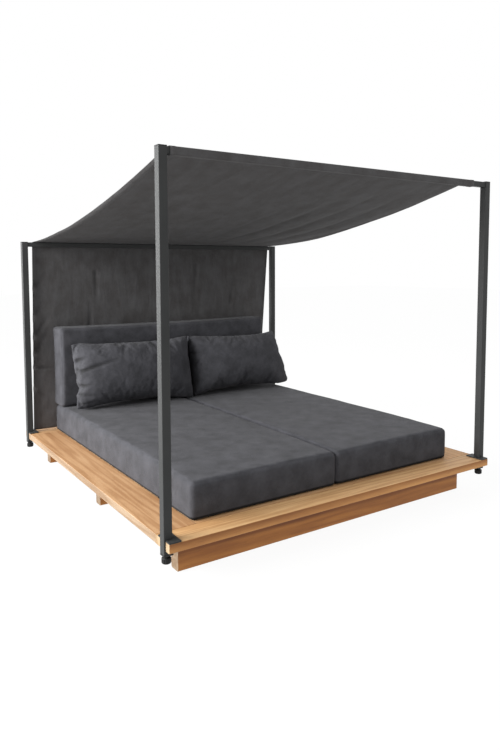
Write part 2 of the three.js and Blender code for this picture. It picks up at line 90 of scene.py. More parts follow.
# Padding
EDGE_STEPS = 4
PAD_CELL = 16 * MM
PILLOW_CELL = 12 * MM
PILLOW_FRAMES = 40
PILLOW_SWELL = 40 * MM
PILLOW_BULGE = 8 * MM
PILLOW_LEAN = math.radians(15)
PILLOW_TURN = math.radians(-3)
PILLOW_SINK = 3 * MM
PILLOW_FORWARD = 18 * MM
PILLOW_SHIFT = 10 * MM
PRESSED_COLUMNS = 6
PULL_REACH = 30 * MM
PAD_GAIN = 9 * MM
MATTRESS_INNER_GAIN = 2 * MM
BACK_CUSHION_SETTLED = 14 * MM
SIDE_BULGE = 3 * MM
SEAM_DEPTH = 0.9 * MM
SEAM_HALF_WIDTH = 3 * MM
PUCKER_HEIGHT = 1.5 * MM
PILLOW_WALL_GAP = 2 * MM
PILLOW_SEAT_GAP = 4 * MM
# How high the mattresses are painted near black from their bottom: a painted shadow where they sit.
FOOT_SHADOW_HEIGHT = 16 * MM


def deselect():
    if bpy.context.object and bpy.context.object.mode != "OBJECT":
        bpy.ops.object.mode_set(mode="OBJECT")
    bpy.ops.object.select_all(action="DESELECT")


def activate(piece):
    deselect()
    piece.select_set(True)
    bpy.context.view_layer.objects.active = piece


def mesh_piece(name, points, faces):
    mesh = bpy.data.meshes.new(name)
    mesh.from_pydata(points, [], faces)
    mesh.update()
    piece = bpy.data.objects.new(name, mesh)
    bpy.context.collection.objects.link(piece)
    return piece


def apply_modifier(piece, kind, **settings):
    modifier = piece.modifiers.new(kind.lower(), kind)
    for key, value in settings.items():
        setattr(modifier, key, value)
    activate(piece)
    bpy.ops.object.modifier_apply(modifier=modifier.name)


def smooth(piece):
    activate(piece)
    bpy.ops.object.shade_smooth()


def finish_piece(piece, material, slot, body, *nodes):
    piece.data.materials.clear()
    piece.data.materials.append(material)
    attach(piece, body)
    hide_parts(*nodes)


def unit(value):
    """The value, kept between 0 and 1."""
    return max(0.0, min(1.0, value))


def waves(x, y, z, scale):
    """Smooth noise between about -1 and 1, whose lumps are scale metres across."""
    return noise.noise(Vector((x, y, z)) / scale)


def crease_at(place, creases):
    """The depth of straight creases at a place. A crease has its start, its end, its width and its
    depth. It is deepest at its start, and its sides are raised."""
    total = 0.0
    for start, end, width, depth in creases:
        along = Vector(end) - Vector(start)
        from_start = place - Vector(start)
        t = unit(from_start.dot(along) / along.length_squared)
        off = (from_start - along * t).length / width
        if off < CREASE_SPREAD:
            total += depth * (1 - t) ** 0.8 * (1 - off * off) * math.exp(-off * off)
    return total


def shade_creases(piece, depths, deepest):
    """Keeps how deep each point lies in a crease, for its material to darken it there with painted shade.
    """
    layer = piece.data.attributes.new("crease_shade", "FLOAT", "POINT")
    for spot, depth in zip(layer.data, depths):
        spot.value = unit(depth / deepest)


# Shader maths


class Link:
    """One output of a material's nodes, on which Python's arithmetic adds Math nodes."""

    def __init__(self, paint, socket):
        self.paint = paint
        self.socket = socket

    def __add__(self, other):
        return self.paint.math("ADD", self, other)

    def __sub__(self, other):
        return self.paint.math("SUBTRACT", self, other)

    def __rsub__(self, other):
        return self.paint.math("SUBTRACT", other, self)

    def __mul__(self, other):
        return self.paint.math("MULTIPLY", self, other)

    def __gt__(self, other):
        return self.paint.math("GREATER_THAN", self, other)

    __radd__ = __add__
    __rmul__ = __mul__


class Paint:
    """A material under construction."""

    def __init__(self, name):
        self.material = bpy.data.materials.new(name)
        self.material.use_nodes = True
        self.tree = self.material.node_tree
        self.tree.nodes.clear()

    def node(self, kind, settings=None, sockets=None, output=0):
        """Adds a node: its settings, then the values or links of its sockets."""
        node = self.tree.nodes.new(kind)
        for key, value in (settings or {}).items():
            if key == "stops":
                self.set_stops(node.color_ramp, value)
            else:
                setattr(node, key, value)
        for key, value in (sockets or {}).items():
            if isinstance(value, Link):
                self.tree.links.new(value.socket, node.inputs[key])
            else:
                node.inputs[key].default_value = value
        return Link(self, node.outputs[output]) if node.outputs else node

    @staticmethod
    def set_stops(ramp, stops):
        while len(ramp.elements) < len(stops):
            ramp.elements.new(0.5)
        for element, (place, colour) in zip(ramp.elements, stops):
            element.position = place
            element.color = (*colour, 1)

    def math(self, operation, first, second=0.0):
        return self.node("ShaderNodeMath", {"operation": operation}, {0: first, 1: second})

    def coordinates(self, output="Object"):
        return self.node("ShaderNodeTexCoord", output=output)

    def axes(self, vector):
        """The three parts of a vector."""
        node = self.tree.nodes.new("ShaderNodeSeparateXYZ")
        self.tree.links.new(vector.socket, node.inputs[0])
        return [Link(self, out) for out in node.outputs]

    def vector(self, x, y, z):
        return self.node("ShaderNodeCombineXYZ", sockets={0: x, 1: y, 2: z})

    def stretch(self, vector, scale):
        return self.node("ShaderNodeMapping", sockets={"Vector": vector, "Scale": scale})

    def noise(self, vector, scale, detail=2.0, roughness=0.5, distortion=0.0):
        sockets = {
            "Vector": vector,
            "Scale": scale,
            "Detail": detail,
            "Roughness": roughness,
            "Distortion": distortion,
        }
        return self.node("ShaderNodeTexNoise", sockets=sockets)

    def ramp(self, value, stops):
        return self.node("ShaderNodeValToRGB", {"stops": stops}, {"Fac": value})

    def mix(self, factor, first, second, blend="MIX"):
        colour = [c if isinstance(c, Link) else (*c, 1) for c in (first, second)]
        settings = {"data_type": "RGBA", "blend_type": blend}
        return self.node("ShaderNodeMix", settings, {0: factor, 6: colour[0], 7: colour[1]}, output=2)

    def range(self, value, low, high, to_low=0.0, to_high=1.0):
        sockets = {0: value, 1: low, 2: high, 3: to_low, 4: to_high}
        return self.node("ShaderNodeMapRange", {"clamp": True}, sockets)

    def bump(self, height, distance, strength):
        sockets = {"Height": height, "Distance": distance, "Strength": strength}
        return self.node("ShaderNodeBump", sockets=sockets)

    def finish(self, **sockets):
        """Ends in a Principled shader, whose sockets are named with underscores for spaces."""
        named = {key.replace("_", " "): value for key, value in sockets.items()}
        shader = self.node("ShaderNodeBsdfPrincipled", sockets=named)
        self.node("ShaderNodeOutputMaterial", sockets={"Surface": shader})
        return self.material


def teak(name, along, seed, top_tint, front_tint, x_face_tint, shade=None):
    """Teak with its grain along X or Y. Each face is tinted by the way it faces, with painted light and
    shade: the top tint on top, the front tint in front, darker and browner, and the third tint on the
    faces towards X, which also stands for the end grain where they cut across it. shade gives two heights
    between which the front face grows darker, a painted shade."""
    paint = Paint(name)
    place = paint.coordinates()
    x, y, z = paint.axes(place)
    length, width = (x, y) if along == "X" else (y, x)
    board = paint.vector(length + seed, width + seed * 0.37, z)
    drift = paint.noise(paint.stretch(board, (1.2, 5, 5)), 1.0, 2.0)
    ring_place = paint.stretch(board, (0.55, 16, 9))
    flame = paint.noise(ring_place, 1.0, 2.0, 0.5, 0.4)
    rings = paint.math("SINE", (flame * 5.0 + drift * 1.5) * math.tau)
    bands = paint.range(rings, -1.0, 1.0)
    fibre = paint.noise(paint.stretch(board, (9, 380, 380)), 1.0, 3.0, 0.6)
    blotch = paint.noise(paint.stretch(board, (2.5, 9, 9)), 1.0, 3.0, 0.6)
    pores = paint.noise(paint.stretch(board, (22, 900, 900)), 1.0, 1.0, 0.5)
    tone = bands * 0.24 + fibre * 0.34 + blotch * 0.46 - 0.04
    colour = paint.ramp(
        tone,
        [
            (0.12, (0.230, 0.105, 0.040)),
            (0.38, (0.330, 0.180, 0.080)),
            (0.60, (0.420, 0.250, 0.125)),
            (0.88, (0.520, 0.350, 0.200)),
        ],
    )
    pore = paint.range(pores, 0.60, 0.74)
    colour = paint.mix(pore * 0.4, colour, (0.120, 0.052, 0.020))
    # Painted light and shade: the top, the front and the faces towards X each get their own tint, as lit
    # and shaded copies of the same teak.
    facing = paint.axes(paint.node("ShaderNodeNewGeometry", output="Normal"))
    front = paint.range(paint.math("ABSOLUTE", facing[1]), 0.4, 0.9)
    colour = paint.mix(front, colour, front_tint, "MULTIPLY")
    colour = paint.mix(1 - front, colour, top_tint, "MULTIPLY")
    # Painted shade: the front face darkens upwards between the two heights.
    if shade is not None:
        painted_shade = front * paint.range(z, *shade)
        colour = paint.mix(painted_shade, colour, (0.54, 0.43, 0.28), "MULTIPLY")
    end = paint.range(paint.math("ABSOLUTE", facing[0]), 0.4, 0.9)
    colour = paint.mix(end, colour, x_face_tint, "MULTIPLY")
    height = fibre * 0.55 - pore * 0.45 + bands * 0.15
    return paint.finish(
        Base_Color=colour,
        Roughness=paint.range(fibre, 0.2, 0.8, 0.50, 0.68),
        Normal=paint.bump(height, 0.35 * MM, 0.7),
        Specular_IOR_Level=0.4,
    )


def powder_coat():
    """Charcoal powder coat with the fine skin of baked paint."""
    paint = Paint("charcoal_powder_coat")
    place = paint.coordinates()
    skin = paint.noise(place, 1500.0, 2.0, 0.6)
    dust = paint.noise(place, 7.0, 4.0, 0.6)
    colour = paint.ramp(dust, [(0.3, (0.024, 0.025, 0.025)), (0.7, (0.031, 0.032, 0.032))])
    return paint.finish(
        Base_Color=colour,
        Roughness=paint.range(dust, 0.3, 0.7, 0.46, 0.56),
        Normal=paint.bump(skin, 0.05 * MM, 0.6),
        Specular_IOR_Level=0.2,
    )


def moulded_plastic():
    """Black glass-filled nylon with a fine spark texture."""
    paint = Paint("black_moulded_nylon")
    place = paint.coordinates()
    grain = paint.noise(place, 900.0, 2.0, 0.7)
    scuff = paint.noise(place, 60.0, 3.0, 0.6)
    colour = paint.ramp(scuff, [(0.35, (0.004, 0.004, 0.004)), (0.75, (0.010, 0.010, 0.010))])
    return paint.finish(
        Base_Color=colour,
        Roughness=paint.range(scuff, 0.3, 0.7, 0.52, 0.66),
        Normal=paint.bump(grain, 0.06 * MM, 0.7),
        Specular_IOR_Level=0.25,
    )


def woven(name, dark, light, thread, plane, lumps, foot=None, bounce_heights=None):
    """Plain-woven outdoor cloth of flecked yarn. plane gives the cloth's two coordinates in metres,
    lumps how often they rumple, foot the height up to which it is painted near black, a painted
    shadow along where it sits, and the last argument the two heights between which a painted light,
    as thrown up from the timber below, lightens it and thins out. Its creases are darkened with
    painted shade."""
    paint = Paint(name)
    across, along, rest = plane(paint)
    turns = math.pi / thread
    warp = paint.math("SINE", across * turns)
    weft = paint.math("SINE", along * turns)
    over = warp * weft > 0
    raised = paint.math("ABSOLUTE", warp) * over + paint.math("ABSOLUTE", weft) * (1 - over)
    yarn_place = paint.vector(across, along, rest)
    warp_fleck = paint.noise(paint.stretch(yarn_place, (1 / thread, 60, 60)), 1.0, 2.0, 0.6)
    weft_fleck = paint.noise(paint.stretch(yarn_place, (60, 1 / thread, 60)), 1.0, 2.0, 0.6)
    fleck = warp_fleck * over + weft_fleck * (1 - over)
    cloud = paint.noise(yarn_place, 9.0, 4.0, 0.6)
    rumple = paint.noise(paint.stretch(yarn_place, lumps), 1.0, 3.0, 0.55, 0.3)
    tone = fleck * 0.36 + cloud * 0.34 + rumple * 0.24 + raised * 0.08
    colour = paint.ramp(tone, [(0.405, dark), (0.625, light)])
    # Painted shade: the creases darken towards near black as they deepen.
    shade = paint.node("ShaderNodeAttribute", {"attribute_name": "crease_shade"}, output="Fac")
    colour = paint.mix(shade * 0.75, colour, (0.008, 0.008, 0.008))
    height = paint.axes(paint.coordinates())[2]
    # Painted shadow: near black below the foot height.
    if foot is not None:
        colour = paint.mix(paint.range(height, foot, foot + 2 * MM), (0.006, 0.006, 0.006), colour)
    # Painted light: lighter towards the foot of the cloth, as from light thrown up by the timber below.
    if bounce_heights is not None:
        colour = paint.mix(paint.range(height, *bounce_heights, 0.4, 0.0), colour, (0.125, 0.112, 0.110))
    return paint.finish(
        Base_Color=colour,
        Roughness=paint.range(cloud, 0.3, 0.7, 0.86, 0.95),
        Normal=paint.bump(rumple + raised * 0.05, 4.5 * MM, 0.8),
        Sheen_Weight=0.04,
        Sheen_Roughness=0.5,
        Specular_IOR_Level=0.2,
    )


def sheet_plane(paint):
    """The sling's own flat coordinates, in metres."""
    return paint.axes(paint.coordinates("UV"))


def facing_plane(paint):
    """Two coordinates that lie in the surface, whichever way it mostly faces."""
    x, y, z = paint.axes(paint.coordinates())
    normal = paint.node("ShaderNodeNewGeometry", output="Normal")
    facing = [paint.math("ABSOLUTE", part) for part in paint.axes(normal)]
    sideways = (facing[0] > facing[1]) * (facing[0] > facing[2])
    upright = (1 - sideways) * (facing[1] > facing[2])
    across = x * (1 - sideways) + y * sideways
    along = y * (1 - sideways) * (1 - upright) + z * (sideways + upright)
    return across, along, facing[2] * 0.01


# Cloth


def canopy_and_curtain():
    """One cloth: sleeved round the front bar, slung to the rear bar, and down behind it."""
    sling_low, sling_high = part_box("canopy_cloth")
    drop_low, drop_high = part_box("back_curtain")
    front_low, front_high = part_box("crossbar_front")
    rear_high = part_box("crossbar_rear")[1]
    start = Vector((front_high.y + BAR_CLEARANCE, front_high.z + BAR_CLEARANCE))
    finish = Vector((rear_high.y - REAR_TURN, rear_high.z + BAR_CLEARANCE))
    bottom = drop_low.z

    def arc(centre, radius, first, last):
        angles = [math.radians(first + (last - first) * i / ARC_STEPS) for i in range(ARC_STEPS + 1)]
        return [centre + radius * Vector((math.cos(a), math.sin(a))) for a in angles]

    radius = BAR_CORNER + BAR_CLEARANCE
    low_back = Vector((front_high.y - BAR_CORNER, front_low.z + BAR_CORNER))
    low_front = Vector((front_low.y + BAR_CORNER, front_low.z + BAR_CORNER))
    high_front = Vector((front_low.y + BAR_CORNER, front_high.z - BAR_CORNER))
    path = [Vector((start.x, start.y - SLEEVE_OVERLAP))]
    path += arc(low_back, radius, 0, -90)
    path += arc(low_front, radius, -90, -180)
    path += arc(high_front, radius, 180, 90)
    span_first = len(path)
    rows = round((finish.x - start.x) / CLOTH_ROW)
    span_last = span_first + rows
    for i in range(rows + 1):
        t = i / rows
        straight = start.lerp(finish, t)
        path.append(straight - Vector((0, 4 * SLING_SAG * t * (1 - t))))
    inset = REAR_TURN - BAR_CLEARANCE
    rear_corner = Vector((rear_high.y - inset, rear_high.z - inset))
    path += arc(rear_corner, REAR_TURN, 78, 0)
    drop_start = path[-1]
    drop_rows = round((drop_start.y - bottom) / CLOTH_ROW)
    for i in range(1, drop_rows + 1):
        path.append(Vector((drop_start.x, drop_start.y + (bottom - drop_start.y) * i / drop_rows)))

    left = sling_low.x
    right_front = sling_high.x - FRONT_RIGHT_INSET
    right_rear = sling_high.x
    right_foot = drop_high.x - FOOT_RIGHT_INSET
    travelled = [0.0]
    for first, second in zip(path, path[1:]):
        travelled.append(travelled[-1] + (second - first).length)

    def along_span(row):
        """Where a row lies between the bars, from 0 at the front to 1 at the rear."""
        return (row - span_first) / (span_last - span_first)

    def down_curtain(row):
        """Where a row lies on the curtain, from 0 at the rear bar to 1 at its foot."""
        return (travelled[row] - travelled[span_last]) / (travelled[-1] - travelled[span_last])

    def right_edge(row):
        if row <= span_first:
            return right_front
        if row <= span_last:
            return right_front + along_span(row) * (right_rear - right_front)
        return right_rear + down_curtain(row) * (right_foot - right_rear)

    def left_edge(row):
        if row <= span_first:
            return left
        if row <= span_last:
            return left + REAR_LEFT_INSET * along_span(row) ** 3
        return left + REAR_LEFT_INSET * (1 - down_curtain(row))

    creases = [
        ((-1.00, 0.65), (-0.80, 0.64), 17 * MM, 12 * MM),
        ((-1.00, 0.85), (-0.86, 1.04), 19 * MM, 11 * MM),
        ((-0.99, 0.74), (-0.88, 0.92), 18 * MM, 9 * MM),
        ((-1.00, 0.98), (-0.90, 1.14), 19 * MM, 8 * MM),
        ((-1.00, 0.50), (-0.89, 0.42), 20 * MM, 9 * MM),
        ((-0.98, 1.20), (-0.87, 1.34), 22 * MM, 7 * MM),
        ((-0.535, 1.31), (-0.53, 1.06), 17 * MM, 8 * MM),
        ((-0.585, 0.90), (-0.575, 1.10), 17 * MM, 8 * MM),
        ((0.30, 1.36), (0.27, 1.02), 19 * MM, 6 * MM),
        ((0.62, 1.05), (0.66, 1.32), 20 * MM, 6 * MM),
    ]

    def fold(row, x):
        """How far the cloth stands off its plain path: upwards on the sling, outwards on the drop."""
        if span_first <= row <= span_last:
            t = along_span(row)
            s = travelled[row]
            edge = math.sin(math.pi * t)
            right_side = unit((x + RIPPLE_PITCH) / (2 * RIPPLE_PITCH))
            phase = (x - 0.06) / RIPPLE_PITCH + 0.12 * waves(x, 3.0 * t, 1.7, 0.9)
            crest = 1 - 2 * abs(math.sin(math.pi * phase)) ** 0.8
            ripple = RIPPLE_HEIGHT * right_side * edge**1.5 * crest
            soft = 5.0 * MM * edge * waves(x, s, 3.1, 0.42) + 1.6 * MM * edge * waves(x, s, 9.7, 0.13)
            dip = -SLING_DIP * edge * (1 - abs(x)) if abs(x) < 1 else 0.0
            return ripple + soft + dip
        if row > span_last + ARC_STEPS:
            fall = down_curtain(row)
            broad = 9 * MM * math.sqrt(fall) * waves(x, fall * 0.35, 5.3, 0.30)
            fine = 3.0 * MM * fall * waves(x * 1.9, fall * 0.8, 8.9, 0.12)
            left_side = math.exp(-((x - left) / 0.25) ** 2)
            pucker = 5 * MM * left_side * fall * waves(x + fall * 0.5, fall * 1.2, 2.2, 0.06)
            return broad + fine + pucker + crease_at(Vector((x, path[row].y)), creases)
        return 0.0

    hem_share = HEM_WIDTH / (right_rear - left)
    hem = (0.0, hem_share * HEM_STEP, hem_share)
    inner = [hem_share + (1 - 2 * hem_share) * i / CLOTH_COLUMNS for i in range(1, CLOTH_COLUMNS)]
    shares = sorted({*hem, *inner, *(1 - share for share in hem)})
    points = []
    flat = []
    depths = []
    for row, spot in enumerate(path):
        before = path[max(row - 1, 0)]
        after = path[min(row + 1, len(path) - 1)]
        along = (after - before).normalized()
        outward = Vector((-along.y, along.x))
        right = right_edge(row)
        start_x = left_edge(row)
        for share in shares:
            x = start_x + share * (right - start_x)
            stand = fold(row, x)
            at_hem = min(share, 1 - share) <= hem_share * HEM_TOP
            at_foot = travelled[-1] - travelled[row] < HEM_WIDTH
            if at_hem or (at_foot and row > span_last):
                stand += HEM_LIFT
            at = spot + outward * stand
            points.append((x, at.x, at.y))
            flat.append((x, travelled[row]))
            on_curtain = row > span_last + ARC_STEPS
            depths.append(crease_at(Vector((x, at.y)), creases) if on_curtain else 0.0)
    columns = len(shares)
    faces = []
    for row in range(len(path) - 1):
        for i in range(columns - 1):
            a = row * columns + i
            faces.append((a, a + 1, a + columns + 1, a + columns))
    sling = mesh_piece("sling_cloth", points, faces)
    layer = sling.data.uv_layers.new(name="flat")
    for loop in sling.data.loops:
        layer.data[loop.index].uv = flat[loop.vertex_index]
    shade_creases(sling, depths, CURTAIN_CREASE_DEPTH)
    apply_modifier(sling, "SOLIDIFY", thickness=CLOTH_THICKNESS, offset=0.0)
    smooth(sling)
    sleeve = travelled[span_first]
    slung = travelled[span_last] - sleeve
    dropped = travelled[-1] - travelled[span_last]
    front_width, rear_width, foot_width = (edge - left for edge in (right_front, right_rear, right_foot))
    area = sleeve * front_width + slung * (front_width + rear_width) / 2
    area += dropped * (rear_width + foot_width) / 2
    return sling


# Padding


def graded_axis(half, edge, cell):
    """Places along one axis of a pad: an even middle, and the steps of a rounded edge at each end."""
    inner = half - edge
    count = max(2, round(2 * inner / cell))
    middle = [inner * (2 * i / count - 1) for i in range(count + 1)]
    ends = [inner + edge * math.tan(math.pi / 4 * (k + 1) / EDGE_STEPS) for k in range(EDGE_STEPS)]
    return [-place for place in reversed(ends)] + middle + ends


def box_surface(counts):
    """The surface of a grid box: its points as index triples, and its faces turned outwards."""
    index = {}
    faces = []
    for axis in range(3):
        a, b = (axis + 1) % 3, (axis + 2) % 3
        for end in (0, counts[axis] - 1):
            for i in range(counts[a] - 1):
                for j in range(counts[b] - 1):
                    corners = []
                    for step_a, step_b in ((0, 0), (1, 0), (1, 1), (0, 1)):
                        key = [0, 0, 0]
                        key[axis], key[a], key[b] = end, i + step_a, j + step_b
                        corners.append(index.setdefault(tuple(key), len(index)))
                    faces.append(corners if end else corners[::-1])
    return list(index), faces


def boxed_pad(name, size, edge, crown, draw_in, seed, foot_draw_in=None, ear=0.0, under_edge=None):
    """A boxed cushion that lies on its back: crowned top, drawn-in sides and seams round both panels.
    ear lifts the ends of its top, and under_edge rounds its lower edge apart from the upper one."""
    half = [value / 2 for value in size]
    foot_draw_in = draw_in if foot_draw_in is None else foot_draw_in
    under_edge = edge if under_edge is None else under_edge
    axes = [graded_axis(value, edge, PAD_CELL) for value in half]
    keys, faces = box_surface([len(axis) for axis in axes])
    points = []
    for key in keys:
        cube = [axes[axis][key[axis]] for axis in range(3)]
        reach = (edge, edge, edge if cube[2] > 0 else under_edge)
        core = [max(reach[a] - half[a], min(half[a] - reach[a], cube[a])) for a in range(3)]
        off = Vector([(cube[a] - core[a]) / reach[a] for a in range(3)])
        normal = off.normalized()
        point = Vector([core[a] + normal[a] * reach[a] for a in range(3)])
        u, v, w = (point[a] / half[a] for a in range(3))
        bowl_x, bowl_y = max(1 - u * u, 0), max(1 - v**4, 0)
        sits = max(w, 0.0)
        rise = sits * (crown * math.sqrt(bowl_x * bowl_y) + ear * bowl_y * u * u)
        end_draw = foot_draw_in if v < 0 else draw_in
        free = 1.0 if under_edge == edge else (1 + w) / 2
        inward = Vector((-draw_in * free * bowl_y * u**3, -end_draw * free * bowl_x * v**7, rise))
        border = 1 - min(1.0, abs(w) * 1.02) ** 4
        bulge = SIDE_BULGE * border if abs(normal.z) < 0.5 else 0.0
        depths = sorted(half[a] - abs(cube[a]) for a in range(3))
        from_seam = depths[1] if half[2] - abs(cube[2]) in depths[:2] else 1.0
        groove = -SEAM_DEPTH * math.exp(-((from_seam / SEAM_HALF_WIDTH) ** 2))
        pull = math.exp(-from_seam / (16 * MM)) * (1 - math.exp(-from_seam / (4 * MM)))
        pucker = PUCKER_HEIGHT * pull * waves(point.x + seed, point.y, point.z, 0.021)
        soft = 1.8 * MM * waves(point.x + seed, point.y, point.z, 0.24)
        soft += 0.7 * MM * waves(point.x, point.y + seed, point.z, 0.07)
        soft *= 1.0 if w > -0.4 else 0.0
        points.append(point + inward + normal * (bulge + groove + pucker + soft))
    return mesh_piece(name, points, faces)


def shift_mesh(piece, matrix):
    piece.data.transform(matrix)
    piece.data.update()


def mattress(side, gain, seed):
    """A mattress pad that is wider than its plain solid by a gain, nearly all on its outer side."""
    low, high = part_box(f"mattress_{side}")
    crown = 9 * MM
    size = (high.x - low.x + gain, high.y - low.y + PAD_GAIN, high.z - low.z - crown)
    pad = boxed_pad(
        f"mattress_pad_{side}", size, 24 * MM, crown, 5 * MM, seed, ear=7 * MM, under_edge=6 * MM
    )
    middle = (low + high) / 2
    spread = math.copysign(gain / 2 - MATTRESS_INNER_GAIN, middle.x)
    shift_mesh(pad, Matrix.Translation((middle.x + spread, middle.y, low.z + size[2] / 2)))
    smooth(pad)
    return pad


def back_cushion():
    low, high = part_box("back_cushion")
    crown = 12 * MM
    height = high.z - low.z - BACK_CUSHION_SETTLED
    size = (high.x - low.x + 2 * PAD_GAIN, height, high.y - low.y - crown)
    pad = boxed_pad("back_cushion_pad", size, 23 * MM, crown, 7 * MM, 4.4, 0.0)
    middle = (low + high) / 2
    upright = Matrix.Rotation(math.pi / 2, 4, "X")
    place = Matrix.Translation((middle.x, high.y - size[2] / 2, low.z + height / 2))
    shift_mesh(pad, place @ upright)
    smooth(pad)
    return pad


def pillow_envelope(name, width, height, bulge, gathered_end, tucked_corner):
    """Two panels sewn round their edges, upright in XZ, and each point's place on its flat panel."""
    columns = round(width / PILLOW_CELL)
    rows = round(height / PILLOW_CELL)
    points = []
    panel = []
    index = {}
    for face in (-1, 1):
        for i in range(columns + 1):
            for j in range(rows + 1):
                on_seam = i in (0, columns) or j in (0, rows)
                if on_seam and face > 0:
                    index[face, i, j] = index[-1, i, j]
                    continue
                u, v = 2 * i / columns - 1, 2 * j / rows - 1
                full = math.sqrt((1 - u**4) * (1 - v**4))
                x = u * width / 2 + bulge * u**3 * (1 - v * v)
                z = v * height / 2 + bulge * v**3 * (1 - u * u)
                tuck = tucked_corner * max(u, 0) ** 6 * max(-v, 0) ** 6
                x -= tuck
                z += tuck
                index[face, i, j] = len(points)
                points.append((x, face * PILLOW_SWELL * full, z))
                panel.append((Vector((x, z)), face, i, j))
    faces = []
    for face in (-1, 1):
        for i in range(columns):
            for j in range(rows):
                ring = [(i, j), (i + 1, j), (i + 1, j + 1), (i, j + 1)]
                corners = [index[(face, *spot)] for spot in ring]
                faces.append(corners if face < 0 else corners[::-1])
    pillow = mesh_piece(name, points, faces)
    seam = pillow.vertex_groups.new(name="seam")
    for (face, i, j), vertex in index.items():
        from_edge = min(i, columns - i, j, rows - j)
        if from_edge <= 1:
            weight = 0.85 if gathered_end and i <= 1 else 0.5
            seam.add([vertex], weight * (1.0 - 0.5 * from_edge), "REPLACE")
    return pillow, panel


def holder(node, friction):
    """A copy of a node's plain solid, for a pillow to settle against."""
    made = bpy.data.objects.new(f"hold_{node}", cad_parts[node].data.copy())
    bpy.context.collection.objects.link(made)
    made.modifiers.new("hold", "COLLISION")
    made.collision.thickness_outer = 2 * MM
    made.collision.cloth_friction = friction
    return made


def fill(cover, volume):
    """Fills a sewn cover and lets it settle on the mattresses, against the back cushion."""
    holders = [holder("mattress_left", 4), holder("mattress_right", 4), holder("back_cushion", 0.5)]
    cloth = cover.modifiers.new("cloth", "CLOTH")
    settings = cloth.settings
    settings.quality = 5
    settings.mass = 0.003
    settings.tension_stiffness = 15
    settings.compression_stiffness = 15
    settings.shear_stiffness = 5
    settings.bending_stiffness = 0.15
    settings.air_damping = 6
    settings.use_pressure = True
    settings.use_pressure_volume = True
    settings.uniform_pressure_force = 0
    settings.target_volume = volume
    settings.pressure_factor = 12
    settings.effector_weights.gravity = 0.1
    settings.vertex_group_shrink = "seam"
    settings.shrink_min = 0.0
    settings.shrink_max = 0.14
    cloth.collision_settings.distance_min = 2 * MM
    cloth.collision_settings.collision_quality = 2
    cloth.point_cache.frame_start = 1
    cloth.point_cache.frame_end = PILLOW_FRAMES
    for step in range(1, PILLOW_FRAMES + 1):
        bpy.context.scene.frame_set(step)
    activate(cover)
    bpy.ops.object.modifier_apply(modifier=cloth.name)
    bpy.context.scene.frame_set(1)
    for made in holders:
        bpy.data.objects.remove(made)


def press_end(cover, panel, column):
    """Flattens a pillow's end where it leans on its neighbour. column is the grid's column there."""
    seam = {j: vertex.co.x for vertex, (*_, i, j) in zip(cover.data.vertices, panel) if i == column}
    for vertex, (*_, i, j) in zip(cover.data.vertices, panel):
        share = min(1.0, abs(i - column) / PRESSED_COLUMNS)
        vertex.co.x = seam[j] + (vertex.co.x - seam[j]) * share


def draw_in_ends(cover, panel, width, pulls):
    """Draws the end seams in where the filling leaves the cover slack. A pull has its end, -1 or 1,
    its height on the flat panel, its width and its depth."""
    for vertex, (place, *_) in zip(cover.data.vertices, panel):
        for end, height, reach, depth in pulls:
            from_end = max(0.0, width / 2 - end * place.x)
            off = (place.y - height) / reach
            vertex.co.x -= end * depth * math.exp(-off * off - from_end / PULL_REACH)


def pillow(side, size, volume, slump, creases, pulls, gathered_end, tucked_corner):
    cover, panel = pillow_envelope(
        f"pillow_cover_{side}", *size, PILLOW_BULGE, gathered_end, tucked_corner
    )
    for vertex in cover.data.vertices:
        u = vertex.co.x / (size[0] / 2)
        vertex.co.x -= slump * max(u, 0.0) ** 2 * vertex.co.z / (size[1] / 2)
    turned = Matrix.Rotation(PILLOW_TURN, 4, "Z") @ Matrix.Rotation(-PILLOW_LEAN, 4, "X")
    shift_mesh(cover, turned)
    low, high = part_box(f"pillow_{side}")
    corners = [vertex.co for vertex in cover.data.vertices]
    lowest = min(corner.z for corner in corners)
    rearmost = max(corner.y for corner in corners)
    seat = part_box(f"mattress_{side}")[1].z
    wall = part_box("back_cushion")[0].y
    middle_x = (low.x + high.x) / 2 - PILLOW_SHIFT * (side == "right")
    place = Vector((middle_x, wall - PILLOW_WALL_GAP - rearmost, seat + PILLOW_SEAT_GAP - lowest))
    shift_mesh(cover, Matrix.Translation(place))
    fill(cover, volume)
    draw_in_ends(cover, panel, size[0], pulls)
    press_end(cover, panel, round(size[0] / PILLOW_CELL) if side == "left" else 0)
    depths = [crease_at(spot, creases) if face < 0 else 0.0 for spot, face, *_ in panel]
    for vertex, depth in zip(cover.data.vertices, depths):
        vertex.co -= vertex.normal * depth
    shade_creases(cover, depths, PILLOW_CREASE_DEPTH)
    foot = min(vertex.co.z for vertex in cover.data.vertices)
    shift_mesh(cover, Matrix.Translation((0, -PILLOW_FORWARD, seat - PILLOW_SINK - foot)))
    apply_modifier(cover, "SUBSURF", levels=1, render_levels=1)
    smooth(cover)
    return cover


